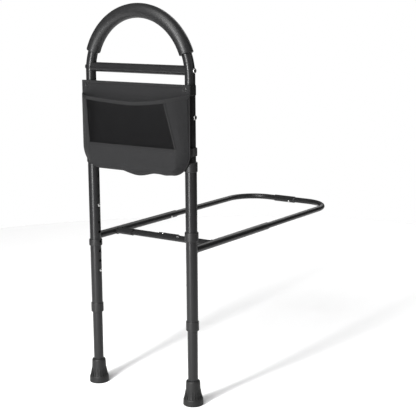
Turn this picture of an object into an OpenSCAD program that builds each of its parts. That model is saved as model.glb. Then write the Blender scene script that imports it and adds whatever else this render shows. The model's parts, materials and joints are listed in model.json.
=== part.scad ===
// Bed assist rail: two telescoping legs, a lift-out arched handle, an under-mattress
// frame joined with snap buttons, and a fabric organiser that hangs on the handle.
// Millimetres. Z is up, X runs from the left leg to the right leg, and Y runs from the
// legs towards the far bar of the frame. The origin is the bottom centre of the whole.

/* [Legs] */
// Distance between the centre lines of the two legs
leg_spacing = 307.2; // [280:1:340]
// Outer diameter of the main leg tubes
leg_d = 28.6; // [28:0.1:32]
// Lower end of the main leg tubes above the floor
leg_bottom = 196; // [180:1:210]
// Upper end of the main leg tubes above the floor
leg_top = 609; // [600:1:640]
// Outer diameter of the tubes that slide inside the main tubes, and of the arch
slider_d = 25.4; // [24:0.1:26]
// Wall thickness of all large tubes
wall = 1.5; // [1.2:0.1:2]
// Distance between two neighbouring adjustment holes
hole_pitch = 25.4; // [20:0.1:26]
// Height of the snap button that locks the lower leg, fully extended
leg_button_z = 305; // [290:1:310]
// Number of height settings of the lower legs
leg_settings = 6; // [2:1:6]

/* [Handle] */
// Height of the snap button that locks the handle, at its lowest setting
handle_button_z = 477; // [470:1:490]
// Number of height settings of the handle
handle_settings = 5; // [2:1:5]
// Height of the centre of the arch
arch_z = 817; // [810:1:840]
// Outer diameter of the foam grip
grip_d = 35.7; // [32:0.1:40]
// Angle above the horizontal at which the foam grip ends
grip_end_angle = 20; // [15:1:40]
// Height of the upper crossbar
upper_bar_z = 830.8; // [825:0.1:840]
// Height of the lower crossbar
lower_bar_z = 720; // [700:1:740]
// Outer diameter of the crossbars
bar_d = 23.4; // [19:0.1:24]

/* [Frame under the mattress] */
// Height of the frame above the floor
frame_z = 394.5; // [392:0.5:398]
// Distance from the legs to the far bar
frame_depth = 712; // [600:1:760]
// Outer diameter of the side rails
rail_d = 19.1; // [18.7:0.1:20]
// Length of the side rails behind the legs
rail_length = 348; // [300:1:380]
// Outer diameter of the rear tubes
rear_d = 15.9; // [15:0.1:15.9]
// Wall thickness of the frame's tubes
rear_wall = 1.4; // [1.2:0.1:1.5]
// Radius of the two rear corners at the tube's centre line
corner_r = 85; // [60:1:100]
// Outer diameter of the cross tubes
cross_d = 11; // [10:0.1:12]
// Distance from the legs to the front cross tube
front_cross_y = 80; // [70:1:84]
// Distance from the legs to the rear cross tube
rear_cross_y = 100; // [100:1:120]

/* [Feet] */
// Height of the rubber feet
foot_h = 63; // [58:1:70]
// Diameter of the rubber feet at the floor
foot_d = 51; // [46:1:54]

/* [Bag] */
// Top edge of the bag above the floor
bag_top = 798; // [790:1:800]
// Bottom edge of the bag above the floor
bag_bottom = 580; // [570:1:590]
// Half the width of the bag's back panel
bag_half_w = 167; // [150:1:170]
// Half the width of the pouch's front panel
pouch_half_w = 128; // [110:1:132]
// How far the pouch's rim stands in front of the legs
bag_reach = 62; // [50:1:66]

/* [Hidden] */
$fn = 64;
hull_fn = 32;

left = -1;
right = 1;
half_spacing = leg_spacing / 2;
rail_r = rail_d / 2;
leg_y = -(frame_depth + rail_r - bag_reach) / 2;
far_y = leg_y + frame_depth;

running = 0.05;                     // radial clearance of a sliding fit
gap = 0.3;                          // space between a moving piece and a fixed one
slider_wall_r = slider_d / 2 - wall;
leg_bore_r = slider_d / 2 + running;
button_d = 8;
hole_r = button_d / 2 + 0.25;

slider_end_below = 20;              // tube left beyond a snap button at its own end
leg_slider_top = leg_button_z + 22;
handle_end_z = handle_button_z - slider_end_below;
sole_t = 5;                         // rubber under the leg's washer
washer_t = 2;
slider_bottom = sole_t + washer_t;

collar_r = 16.2;
mid_collar_r = 17;
collar_edge = 2.2;                  // rounding of a collar's edges
foot_collar = [192, 217];
top_collar = [588.5, 612.8];
mid_collar_low = [370, 387];
mid_collar_high = [418, 441];
lip_bore_r = slider_d / 2 + gap;

rail_bore_r = rear_d / 2 + running;
rear_in_r = rear_d / 2 - rear_wall;
rail_insert = 63;                   // rear tube held inside a side rail
rail_button_y = leg_y + 320;
side_tilt = 25;                     // frame buttons look inwards and this far down
sleeve_start_x = -43;
sleeve_end_x = 24;
far_button_x = 9;
far_tube_end_x = 22;

cross_wall = 1.2;
cross_in_r = cross_d / 2 - cross_wall;
cross_bore_r = cross_d / 2 + running;
cross_socket_r = 7.1;
cross_sleeve_r = 7.5;
cross_socket_end_x = -93;
cross_sleeve_x = [-21, 38];
cross_tube_end_x = 30;
cross_button_x = -8;
cross_button_d = 5;

foam_r = grip_d / 2;
screw_r = 3;
head_r = 6;
head_h = 1.8;
key_r = 2.2;
key_depth = 2.8;
saddle_t = 0.8;
saddle_r = 6.6;
insert_l = 24;
insert_inset = 2.8;                 // clears the bend of the arch at the upper crossbar

fabric_t = 3;
back_y = leg_y - 18.2;              // rear face of the back panel, clear of the collars
pouch_rim_z = 762;
pouch_foot_reach = 40;
base_half_w = pouch_half_w + 12;
base_depth = 17;
base_h = 15;
loop_wall = 1.6;
upper_loop = [772, 797];
lower_loop = [627, 648];
bundle = [150, 15, 27];

powder_black = "#262626";
soft_black = "#1c1c1c";
steel = "silver";

// ---------------------------------------------------------------- placing helpers

module on_leg(side) translate([side * half_spacing, leg_y, 0]) children();

// Turns +Z so that it points from a leg towards the middle
module inwards(side) rotate([0, -side * 90, 0]) children();

// Turns +Z so that it points towards the middle and down by the frame buttons' tilt
module inwards_down(side) rotate([0, -side * (90 + side_tilt), 0]) children();

module rod(r, z0, z1) translate([0, 0, z0]) cylinder(r = r, h = z1 - z0);

module pipe(r, bore_r, z0, z1) difference() {
    rod(r, z0, z1);
    rod(bore_r, z0 - 1, z1 + 1);
}

// A ring whose four outer edges are rounded
module round_ring(r, edge, z0, z1) {
    rod(r, z0 + edge, z1 - edge);
    rod(r - edge, z0, z1);
    for (z = [z0 + edge, z1 - edge])
        translate([0, 0, z]) rotate_extrude() translate([r - edge, 0]) circle(r = edge);
}

// A rod along Y that starts at y0 and ends at y1
module y_rod(r, y0, y1) translate([0, y0, 0]) rotate([-90, 0, 0]) rod(r, 0, y1 - y0);

// A rod along X that starts at x0 and ends at x1
module x_rod(r, x0, x1) translate([x0, 0, 0]) rotate([0, 90, 0]) rod(r, 0, x1 - x0);

// ---------------------------------------------------------------- snap buttons

// A spring-loaded pin that points along +Z: inner_r is the wall that its flange rests
// on, outer_r is the outside of the tube that it locks, and rim is the flange's width
module snap_pin(d, inner_r, outer_r, stand, rim = 1) {
    flange_r = d / 2 + rim;
    flange_top = sqrt(inner_r * inner_r - flange_r * flange_r) - 0.1;
    rod(flange_r, flange_top - 1, flange_top);
    rod(d / 2, flange_top - 1, outer_r + stand);
    dome_r = d * 0.62;
    dome_z = outer_r + stand - sqrt(dome_r * dome_r - d * d / 4);
    intersection() {
        translate([0, 0, dome_z]) sphere(r = dome_r);
        rod(d / 2, outer_r + stand - 0.5, outer_r + stand + d);
    }
}

// The folded leaf spring behind a pin, bent over at the distance reach along +X
module leaf_spring(d, inner_r, width, reach, t, rim = 1) {
    flange_r = d / 2 + rim;
    top = sqrt(inner_r * inner_r - flange_r * flange_r) - 1.1;
    low = -sqrt(inner_r * inner_r - width * width / 4) + 0.1;
    rotate([90, 0, 0]) translate([0, 0, -width / 2]) linear_extrude(width)
        polygon([
            [-d * 0.8, top], [d * 0.8, top], [reach, 1.4 * t], [reach + t, 0],
            [reach, -1.4 * t], [-d * 0.8, low], [-d * 0.8, low + t],
            [reach - 2 * t, 0], [d * 0.8, top - t], [-d * 0.8, top - t]
        ]);
}

stand_large = 1.2;
stand_small = 0.7;
cross_rim = 0.6;

module slider_pin() snap_pin(button_d - 0.1, slider_wall_r, leg_d / 2, stand_large);
module slider_spring() leaf_spring(button_d, slider_wall_r, 8, 40, 0.8);
module rail_pin() snap_pin(6.4, rear_in_r, rail_r, stand_small);
module rail_spring() leaf_spring(6.4, rear_in_r, 5, 30, 0.6);
module cross_pin()
    snap_pin(cross_button_d, cross_in_r, cross_sleeve_r, stand_small, cross_rim);

rail_hole_r = 3.4;
cross_hole_r = cross_button_d / 2 + 0.2;

// ---------------------------------------------------------------- legs

module leg_holes(side) {
    for (k = [0 : handle_settings - 1])
        translate([0, 0, handle_button_z + k * hole_pitch])
            inwards(side) rod(hole_r, 2, leg_d);
    for (k = [0 : leg_settings - 1])
        translate([0, 0, leg_button_z + k * hole_pitch])
            inwards(side) rod(hole_r, 2, leg_d);
}

module leg_tube(side) color(powder_black) on_leg(side) difference() {
    pipe(leg_d / 2, leg_bore_r, leg_bottom, leg_top);
    leg_holes(side);
}

module collar_at_end(side, span, tube_z0, tube_z1) color(soft_black) on_leg(side)
    difference() {
        round_ring(collar_r, collar_edge, span[0], span[1]);
        rod(lip_bore_r, span[0] - 1, span[1] + 1);
        rod(leg_d / 2, tube_z0, tube_z1);
    }

module top_collar(side) collar_at_end(side, top_collar, top_collar[0] - 1, leg_top);
module foot_collar(side) collar_at_end(side, foot_collar, leg_bottom, foot_collar[1] + 1);

module mid_collar(side, span) color(soft_black) on_leg(side) difference() {
    round_ring(mid_collar_r, collar_edge, span[0], span[1]);
    rod(leg_d / 2, span[0] - 1, span[1] + 1);
    leg_holes(side);
    translate([0, 0, frame_z]) y_rod(rail_r, 0, mid_collar_r + 1);
}

module lower_leg(side) color(powder_black) on_leg(side) difference() {
    pipe(slider_d / 2, slider_wall_r, slider_bottom, leg_slider_top);
    translate([0, 0, leg_button_z]) inwards(side) rod(hole_r, 2, leg_d);
}

module foot_profile() polygon([
    [0, 0], [foot_d / 2 - 1.2, 0], [foot_d / 2, 1.6], [foot_d / 2 - 0.4, 10],
    [foot_d / 2 - 0.8, 15.5], [foot_d / 2 - 1.6, 18.2], [foot_d / 2 - 3.4, 22],
    [foot_d / 2 - 5.2, 28], [foot_d / 2 - 6.6, 35], [foot_d / 2 - 7.3, 46],
    [foot_d / 2 - 7.7, foot_h - 5], [foot_d / 2 - 8.3, foot_h - 2],
    [foot_d / 2 - 9.8, foot_h], [0, foot_h]
]);

module foot(side) color(soft_black) on_leg(side) difference() {
    rotate_extrude() foot_profile();
    rod(slider_d / 2, sole_t, foot_h + 1);
}

module foot_washer(side) color(steel)
    on_leg(side) pipe(slider_d / 2 - 0.2, 5, sole_t, slider_bottom);

// ---------------------------------------------------------------- handle

// The bent tube of the handle with the radius r at every section
module arch_body(r, overrun = 0) {
    for (side = [left, right])
        translate([side * half_spacing, 0, 0]) rod(r, handle_end_z - overrun, arch_z);
    translate([0, 0, arch_z]) rotate([90, 0, 0]) rotate_extrude(angle = 180)
        translate([half_spacing, 0]) circle(r = r);
}

module screw_holes(r) for (z = [upper_bar_z, lower_bar_z])
    translate([0, 0, z]) x_rod(r, -half_spacing - slider_d, half_spacing + slider_d);

module handle_tube() color(powder_black) translate([0, leg_y, 0]) difference() {
    arch_body(slider_d / 2);
    arch_body(slider_wall_r, 1);
    screw_holes(screw_r + gap);
    for (side = [left, right])
        translate([side * half_spacing, 0, handle_button_z])
            inwards(side) rod(hole_r, 2, leg_d);
}

module foam_grip() color(soft_black) translate([0, leg_y, arch_z]) rotate([90, 0, 0])
    rotate([0, 0, grip_end_angle]) rotate_extrude(angle = 180 - 2 * grip_end_angle)
        translate([half_spacing, 0]) difference() {
            circle(r = foam_r);
            circle(r = slider_d / 2);
        }

module crossbar(z) color(powder_black) translate([0, leg_y, 0]) difference() {
    translate([0, 0, z]) x_rod(bar_d / 2, -half_spacing, half_spacing);
    translate([0, 0, z]) x_rod(bar_d / 2 - wall, -half_spacing - 1, half_spacing + 1);
    arch_body(slider_d / 2);
}

module crossbar_inserts() color("#303030")
    for (z = [upper_bar_z, lower_bar_z], side = [left, right])
        translate([side * (half_spacing - slider_d / 2 - insert_inset), leg_y, z])
            inwards(side) difference() {
                rod(bar_d / 2 - wall, 0, insert_l);
                rod(screw_r, -1, insert_l + 1);
            }

module crossbar_screws() color(steel)
    for (z = [upper_bar_z, lower_bar_z], side = [left, right])
        translate([side * (half_spacing + slider_d / 2 + saddle_t), leg_y, z])
            inwards(side) difference() {
                union() {
                    rod(head_r, -head_h, 0);
                    rod(screw_r, -1, slider_d + saddle_t + insert_l - 4);
                }
                translate([0, 0, -head_h - 1]) cylinder(r = key_r, h = key_depth + 1, $fn = 6);
            }

module saddle_washers() color(soft_black)
    for (z = [upper_bar_z, lower_bar_z], side = [left, right]) on_leg(side) difference() {
        translate([side * (slider_d / 2 + saddle_t), 0, z])
            inwards(side) pipe(saddle_r, screw_r + gap, 0, 5);
        rod(slider_d / 2, z - slider_d, z + slider_d);
    }

// ---------------------------------------------------------------- frame

module side_rail(side) color(powder_black) difference() {
    translate([side * half_spacing, 0, frame_z]) difference() {
        y_rod(rail_r, leg_y, leg_y + rail_length);
        y_rod(rail_bore_r, leg_y - 1, leg_y + rail_length + 1);
        translate([0, rail_button_y, 0]) inwards_down(side) rod(rail_hole_r, 1, rail_d);
    }
    on_leg(side) rod(leg_d / 2, frame_z - leg_d, frame_z + leg_d);
}

// The rear corner and its two straight tubes, with the radius r at every section
module rear_path(side, r, x_end, overrun = 0) {
    translate([side * half_spacing, 0, 0])
        y_rod(r, leg_y + rail_length - rail_insert - overrun, far_y - corner_r);
    translate([side * (half_spacing - corner_r), far_y - corner_r, 0])
        rotate([0, 0, side == right ? 0 : 90]) rotate_extrude(angle = 90)
            translate([corner_r, 0]) circle(r = r);
    translate([0, far_y, 0])
        if (side == right) x_rod(r, x_end - overrun, half_spacing - corner_r);
        else x_rod(r, -half_spacing + corner_r, x_end + overrun);
}

module rail_hole(side) translate([side * half_spacing, rail_button_y, 0])
    inwards_down(side) rod(rail_hole_r, 1, rail_d);

// Turns +Z so that it points from the far bar towards the legs and down
module towards_legs() rotate([90 + side_tilt, 0, 0]) children();

module far_hole() translate([far_button_x, far_y, 0])
    towards_legs() rod(rail_hole_r, 1, rail_d);

module rear_tube_left() color(powder_black) translate([0, 0, frame_z]) difference() {
    rear_path(left, rear_d / 2, far_tube_end_x);
    rear_path(left, rear_in_r, far_tube_end_x, 1);
    rail_hole(left);
    far_hole();
}

module rear_tube_right() color(powder_black) translate([0, 0, frame_z]) difference() {
    union() {
        rear_path(right, rear_d / 2, sleeve_end_x);
        translate([0, far_y, 0]) x_rod(rail_r, sleeve_start_x, sleeve_end_x);
        translate([sleeve_end_x, far_y, 0]) rotate([0, 90, 0])
            cylinder(r1 = rail_r, r2 = rear_d / 2, h = 4);
    }
    rear_path(right, rear_in_r, sleeve_end_x, 1);
    translate([0, far_y, 0]) x_rod(rail_bore_r, sleeve_start_x - 1, sleeve_end_x - 1.5);
    rail_hole(right);
    far_hole();
}

module cross_ends() for (side = [left, right])
    translate([side * half_spacing, 0, 0]) y_rod(rail_r, leg_y, leg_y + rail_length);

module cross_socket() color(powder_black) translate([0, 0, frame_z]) difference() {
    translate([0, leg_y + front_cross_y, 0]) difference() {
        x_rod(cross_socket_r, -half_spacing, cross_socket_end_x);
        x_rod(cross_bore_r, -half_spacing - 1, cross_socket_end_x + 1);
    }
    cross_ends();
}

module cross_tube_front() color(powder_black) translate([0, 0, frame_z]) difference() {
    translate([0, leg_y + front_cross_y, 0]) difference() {
        x_rod(cross_d / 2, -half_spacing + 16, half_spacing);
        x_rod(cross_in_r, -half_spacing, half_spacing + 1);
    }
    cross_ends();
}

// Turns +Z so that it points up and a little towards the legs
module up_to_legs() rotate([30, 0, 0]) children();

module cross_hole() translate([cross_button_x, 0, 0])
    up_to_legs() rod(cross_hole_r, 1, 12);

module cross_tube_rear_left() color(powder_black) translate([0, 0, frame_z])
    difference() {
        translate([0, leg_y + rear_cross_y, 0]) difference() {
            x_rod(cross_d / 2, -half_spacing, cross_tube_end_x);
            x_rod(cross_in_r, -half_spacing - 1, cross_tube_end_x + 1);
            cross_hole();
        }
        cross_ends();
    }

module cross_tube_rear_right() color(powder_black) translate([0, 0, frame_z])
    difference() {
        translate([0, leg_y + rear_cross_y, 0]) difference() {
            union() {
                x_rod(cross_sleeve_r, cross_sleeve_x[0], cross_sleeve_x[1]);
                x_rod(cross_d / 2, cross_sleeve_x[1], half_spacing);
                translate([cross_sleeve_x[1], 0, 0]) rotate([0, 90, 0])
                    cylinder(r1 = cross_sleeve_r, r2 = cross_d / 2, h = 6);
            }
            x_rod(cross_in_r, cross_tube_end_x, half_spacing + 1);
            x_rod(cross_bore_r, cross_sleeve_x[0] - 1, cross_tube_end_x + 2);
            cross_hole();
        }
        cross_ends();
    }

// ---------------------------------------------------------------- buttons in place

module at_handle_button(side) on_leg(side) translate([0, 0, handle_button_z]) children();
module at_leg_button(side) on_leg(side) translate([0, 0, leg_button_z]) children();
module at_rail_button(side)
    translate([side * half_spacing, rail_button_y, frame_z]) children();
module at_far_button() translate([far_button_x, far_y, frame_z]) children();
module at_cross_button()
    translate([cross_button_x, leg_y + rear_cross_y, frame_z]) children();

module handle_button(side) color(steel) at_handle_button(side) inwards(side) slider_pin();
module leg_button(side) color(steel) at_leg_button(side) inwards(side) slider_pin();
module rail_button(side)
    color(steel) at_rail_button(side) inwards_down(side) rail_pin();
module far_bar_button() color(steel) at_far_button() towards_legs() rail_pin();
module cross_button() color(steel) at_cross_button() up_to_legs() cross_pin();

// The leaf springs' bends lie deeper inside the tube than their buttons
module handle_spring(side) color(steel) at_handle_button(side) inwards(side)
    rotate([0, 0, side == right ? 0 : 180]) slider_spring();
module leg_spring(side) color(steel) at_leg_button(side) inwards(side)
    rotate([0, 0, side == right ? 180 : 0]) slider_spring();
module rail_spring_in(side) color(steel) at_rail_button(side) inwards_down(side)
    rotate([0, 0, 90]) rail_spring();
module far_bar_spring() color(steel) at_far_button() towards_legs()
    rotate([0, 0, 180]) rail_spring();
module cross_spring() color(steel) at_cross_button() up_to_legs()
    rotate([0, 0, 180]) leaf_spring(cross_button_d, cross_in_r, 3.4, 22, 0.5, cross_rim);

// ---------------------------------------------------------------- bag

module bag_back() color(soft_black)
    translate([-bag_half_w, back_y - fabric_t, bag_bottom])
        cube([2 * bag_half_w, fabric_t, bag_top - bag_bottom]);

pouch_foot_z = bag_bottom + base_h + gap;

module bag_front() color(soft_black) translate([-pouch_half_w, leg_y, 0])
    rotate([90, 0, 90]) linear_extrude(2 * pouch_half_w) polygon([
        [-pouch_foot_reach, pouch_foot_z], [-bag_reach, pouch_rim_z],
        [fabric_t - bag_reach, pouch_rim_z], [fabric_t - pouch_foot_reach, pouch_foot_z]
    ]);

// The outline, seen from above, of a gusset whose front seam stands at reach
module gusset_outline(reach) {
    front_x = pouch_half_w + gap;
    side_x = bag_half_w - 2;
    rear_y = back_y - fabric_t - gap;
    polygon([
        [front_x, leg_y - reach], [side_x, rear_y - fabric_t], [side_x, rear_y],
        [front_x, leg_y - reach + fabric_t]
    ]);
}

module bag_gusset(side) color(soft_black) scale([side, 1, 1]) hull() {
    translate([0, 0, pouch_foot_z]) linear_extrude(1) gusset_outline(pouch_foot_reach);
    translate([0, 0, pouch_rim_z - 1]) linear_extrude(1) gusset_outline(bag_reach);
}

module bag_base() color(soft_black)
    translate([-base_half_w, back_y - fabric_t - gap - base_depth, bag_bottom])
        cube([2 * base_half_w, base_depth, base_h]);

module bag_loops() color(soft_black)
    for (side = [left, right], span = [upper_loop, lower_loop])
        on_leg(side) pipe(slider_d / 2 + loop_wall, slider_d / 2, span[0], span[1]);

// ---------------------------------------------------------------- stored tie-down strap

bundle_y = back_y - fabric_t - gap - bundle[1];
bundle_z = bag_bottom + base_h + 1;

module strap_bundle() color("#141414") translate([-bundle[0] / 2, bundle_y, bundle_z])
    difference() {
        cube(bundle);
        translate([bundle[0] / 2 - 2.2, -1, -1]) cube([4.4, 2, bundle[2] + 2]);
    }

module strap_band() color("gold")
    translate([-2, bundle_y - 0.4, bundle_z]) cube([4, 1.2, bundle[2]]);

module buckle_socket() color("#101010") translate([bundle[0] / 2 + 1, bundle_y + 3, bundle_z])
    difference() {
        cube([32, 9, bundle[2] - 1]);
        translate([8, 1.8, 3]) cube([25, 5.4, bundle[2] - 7]);
    }

module buckle_plug() color("#101010")
    translate([bundle[0] / 2 + 10, bundle_y + 5.1, bundle_z + 3.5])
        cube([36, 4.8, bundle[2] - 8]);

// ---------------------------------------------------------------- the assembly

leg_tube(left);  // leg_tube_left
leg_tube(right);  // leg_tube_right
top_collar(left);  // top_collar_left
top_collar(right);  // top_collar_right
mid_collar(left, mid_collar_low);  // mid_collar_left
mid_collar(right, mid_collar_high);  // mid_collar_right
foot_collar(left);  // foot_collar_left
foot_collar(right);  // foot_collar_right
lower_leg(left);  // lower_leg_left
lower_leg(right);  // lower_leg_right
foot(left);  // foot_left
foot(right);  // foot_right
foot_washer(left);  // foot_washer_left
foot_washer(right);  // foot_washer_right
handle_tube();
foam_grip();
crossbar(upper_bar_z);  // crossbar_upper
crossbar(lower_bar_z);  // crossbar_lower
crossbar_inserts();
crossbar_screws();
saddle_washers();
side_rail(left);  // side_rail_left
side_rail(right);  // side_rail_right
rear_tube_left();
rear_tube_right();
cross_socket();
cross_tube_front();
cross_tube_rear_left();
cross_tube_rear_right();
handle_button(left);  // handle_button_left
handle_button(right);  // handle_button_right
handle_spring(left);  // handle_spring_left
handle_spring(right);  // handle_spring_right
leg_button(left);  // leg_button_left
leg_button(right);  // leg_button_right
leg_spring(left);  // leg_spring_left
leg_spring(right);  // leg_spring_right
rail_button(left);  // rail_button_left
rail_button(right);  // rail_button_right
rail_spring_in(left);  // rail_spring_left
rail_spring_in(right);  // rail_spring_right
far_bar_button();
far_bar_spring();
cross_button();
cross_spring();
bag_back();
bag_front();
bag_gusset(left);  // bag_gusset_left
bag_gusset(right);  // bag_gusset_right
bag_base();
bag_loops();
strap_bundle();
strap_band();
buckle_socket();
buckle_plug();
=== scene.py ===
import json
import math
import random

import bmesh
import bpy
from bpy.props import FloatProperty, FloatVectorProperty, IntProperty, PointerProperty
from mathutils import Matrix, Vector, noise


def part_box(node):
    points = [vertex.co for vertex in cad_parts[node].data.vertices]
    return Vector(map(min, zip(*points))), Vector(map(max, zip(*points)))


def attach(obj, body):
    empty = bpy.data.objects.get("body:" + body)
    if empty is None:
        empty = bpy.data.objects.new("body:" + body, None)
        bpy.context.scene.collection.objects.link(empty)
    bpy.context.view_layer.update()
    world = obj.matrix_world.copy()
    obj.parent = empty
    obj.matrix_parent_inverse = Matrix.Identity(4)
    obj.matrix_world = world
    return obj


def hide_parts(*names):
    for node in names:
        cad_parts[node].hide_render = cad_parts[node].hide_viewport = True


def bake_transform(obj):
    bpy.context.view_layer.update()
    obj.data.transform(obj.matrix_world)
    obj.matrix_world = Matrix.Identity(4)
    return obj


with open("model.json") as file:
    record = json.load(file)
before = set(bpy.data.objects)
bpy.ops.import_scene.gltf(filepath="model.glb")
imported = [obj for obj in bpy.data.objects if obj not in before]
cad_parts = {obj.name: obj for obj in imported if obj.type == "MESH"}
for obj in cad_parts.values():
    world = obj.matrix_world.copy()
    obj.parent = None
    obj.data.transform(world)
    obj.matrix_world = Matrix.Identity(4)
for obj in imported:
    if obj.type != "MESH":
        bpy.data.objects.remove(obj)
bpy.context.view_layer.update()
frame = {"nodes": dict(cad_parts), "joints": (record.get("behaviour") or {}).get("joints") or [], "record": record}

bl_info = {
    "name": "Bed assist rail",
    "version": (1, 0, 0),
    "blender": (4, 5, 0),
    "location": "View3D > Sidebar > Bed rail",
    "description": "Finishes, foam, rubber and organiser of a bed assist rail",
    "category": "Object",
}

MM = 0.001
SIDES = {"left": -1, "right": 1}


def middle(node):
    """The centre of a CAD node's box."""
    low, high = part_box(node)
    return (low + high) / 2


def half_size(node):
    low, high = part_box(node)
    return (high - low) / 2


LEG = {side: middle("lower_leg_" + side) for side in SIDES}
LEG_Y = LEG["left"].y
HALF_SPACING = (LEG["right"].x - LEG["left"].x) / 2
TUBE_R = half_size("lower_leg_left").x
LEG_R = half_size("leg_tube_left").x
RAIL_R = half_size("side_rail_left").x
FRAME_Z = middle("side_rail_left").z
FOAM_LOW, FOAM_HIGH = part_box("foam_grip")
FOAM_R = half_size("foam_grip").y
ARCH_Z = FOAM_HIGH.z - FOAM_R - HALF_SPACING
PANEL_LOW, PANEL_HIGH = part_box("bag_back")


# ------------------------------------------------------------------ settings

def colour(name, description, *value):
    return FloatVectorProperty(
        name=name, description=description, default=value, size=3, min=0, max=1,
        subtype="COLOR")


def length(name, description, value, low, high):
    return FloatProperty(
        name=name, description=description, default=value, min=low, max=high,
        subtype="DISTANCE", unit="LENGTH")


def level(name, description, value, high=10):
    return FloatProperty(
        name=name, description=description, default=value, min=0, max=high)


def power(name, description, value):
    return FloatProperty(
        name=name, description=description, default=value, min=0, max=1000,
        unit="POWER")


class RailColours(bpy.types.PropertyGroup):
    """Colours of the rail's finishes."""
    paint: colour("Powder coat", "Colour of the coated tubes", 0.0095, 0.0095, 0.0099)
    foam: colour("Foam", "Colour of the grip's foam", 0.009, 0.009, 0.0093)
    rubber: colour("Rubber", "Colour of the feet", 0.009, 0.009, 0.009)
    plastic: colour(
        "Plastic", "Colour of the collars and the buckle", 0.008, 0.008, 0.0083)
    cloth: colour(
        "Cloth", "Colour of the organiser's woven cloth", 0.0095, 0.0095, 0.010)
    # The net's colour is set darker than the cloth's: painted shade of the pouch's dim inside, seen through the
    # net.
    net_painted_shade: colour(
        "Net", "Colour of the organiser's see-through window", 0.005, 0.005, 0.0053)
    zinc: colour("Zinc", "Colour of the screws and snap buttons", 0.56, 0.56, 0.55)
    band: colour(
        "Rubber band", "Colour of the band round the stored strap", 0.80, 0.50, 0.05)


class RailBag(bpy.types.PropertyGroup):
    """Shape of the fabric organiser."""
    rim_dip: length(
        "Rim dip", "How far the pouch's rim dips at its middle", 11.0 * MM, 0, 0.04)
    sag: length(
        "Bottom sag", "How far the bottom hangs at its lowest bulge",
        8.5 * MM, 0, 0.02)
    wrinkle: length("Wrinkle", "Height of the cloth's soft waves", 1.1 * MM, 0, 0.005)
    cloth: length(
        "Cloth thickness", "Thickness of the doubled woven cloth",
        1.2 * MM, 0.0003, 0.003)
    net_pitch: length(
        "Net pitch", "Distance between two holes of the window's net",
        1.3 * MM, 0.0005, 0.005)


class RailTrim(bpy.types.PropertyGroup):
    """Counts and sizes of the small repeated detail."""
    foot_webs: IntProperty(
        name="Foot webs", description="Number of upright webs round each rubber foot",
        default=20, min=6, max=40)
    stitch: length(
        "Stitch", "Distance from one stitch to the next", 3.4 * MM, 0.002, 0.008)
    strap_layers: IntProperty(
        name="Strap layers",
        description="Number of layers of the folded tie-down strap",
        default=11, min=5, max=11)


class RailStage(bpy.types.PropertyGroup):
    """Lights and floor."""
    key: level("Key light", "Strength of the broad light high in front", 2.5, 100)
    strip: power(
        "Strip light", "Power of the narrow light that draws the streaks", 72.0)
    fill: power("Fill light", "Power of the weak light at the side", 6.0)
    back: power("Back light", "Power of the soft light behind the rail", 15.0)
    horizon: level("Horizon", "Brightness of the room at eye level", 0.06)
    zenith: level("Zenith", "Brightness of the room overhead", 0.33)
    floor: colour("Floor", "Colour of the floor", 0.885, 0.885, 0.885)


# ------------------------------------------------------------------ finishes

class Finish:
    """One procedural material that is put together node by node."""

    def __init__(self, name, colour, roughness, **sockets):
        self.material = bpy.data.materials.new(name)
        self.material.use_nodes = True
        self.tree = self.material.node_tree
        self.shader = self.tree.nodes["Principled BSDF"]
        self.colour = (*colour, 1)
        self.shader.inputs["Base Color"].default_value = self.colour
        self.shader.inputs["Roughness"].default_value = roughness
        self.roughness = roughness
        for socket, value in sockets.items():
            self.shader.inputs[socket.replace("_", " ")].default_value = value
        self.height = None

    def node(self, kind, *linked, **values):
        """Adds a node; linked gives its first inputs, values its other inputs."""
        made = self.tree.nodes.new("ShaderNode" + kind)
        for key, value in values.items():
            if key in made.bl_rna.properties:
                setattr(made, key, value)
            else:
                made.inputs[key.replace("_", " ")].default_value = value
        for place, value in enumerate(linked):
            self.put(value, made.inputs[place])
        return made

    def put(self, value, socket):
        if isinstance(value, bpy.types.NodeSocket):
            self.tree.links.new(value, socket)
        elif value is not None:
            socket.default_value = value

    def math(self, operation, *values):
        return self.node("Math", *values, operation=operation).outputs[0]

    def place(self, stretch=(1, 1, 1)):
        """Object coordinates, in metres, stretched along each axis."""
        source = self.node("TexCoord").outputs["Object"]
        return self.node("Mapping", source, Scale=stretch).outputs[0]

    def threads(self):
        """The two directions of the cloth, in metres."""
        source = self.node("TexCoord").outputs["UV"]
        parts = self.node("SeparateXYZ", source).outputs
        return parts[0], parts[1]

    def ripple(self, along, pitch):
        """A wave from -1 to 1 that repeats each pitch metres."""
        return self.math("SINE", self.math("MULTIPLY", along, math.tau / pitch))

    def noise(self, scale, detail=3, stretch=(1, 1, 1)):
        return self.node(
            "TexNoise", self.place(stretch), Scale=scale, Detail=detail).outputs["Fac"]

    def mottle(self, scale, amount, detail=3):
        """Varies the colour by up to amount, lighter and darker."""
        grain = self.noise(scale, detail)
        low, high = 1 - amount, 1 + amount
        mix = self.node("Mix", data_type="RGBA")
        self.put(grain, mix.inputs[0])
        mix.inputs[6].default_value = (*[c * low for c in self.colour[:3]], 1)
        mix.inputs[7].default_value = (*[c * high for c in self.colour[:3]], 1)
        self.tree.links.new(mix.outputs[2], self.shader.inputs["Base Color"])
        return self

    def uneven(self, scale, amount, detail=3):
        """Varies the roughness by up to amount."""
        spread = self.node(
            "MapRange", self.noise(scale, detail),
            To_Min=max(self.roughness - amount, 0.02),
            To_Max=min(self.roughness + amount, 1))
        self.tree.links.new(spread.outputs[0], self.shader.inputs["Roughness"])
        return self

    def bump(self, height, depth, strength=1.0):
        """Stacks a bump of depth metres on those before it."""
        made = self.node("Bump", Distance=depth, Strength=strength)
        self.put(height, made.inputs["Height"])
        if self.height is not None:
            self.tree.links.new(self.height, made.inputs["Normal"])
        self.height = made.outputs[0]
        self.tree.links.new(self.height, self.shader.inputs["Normal"])
        return self


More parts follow.
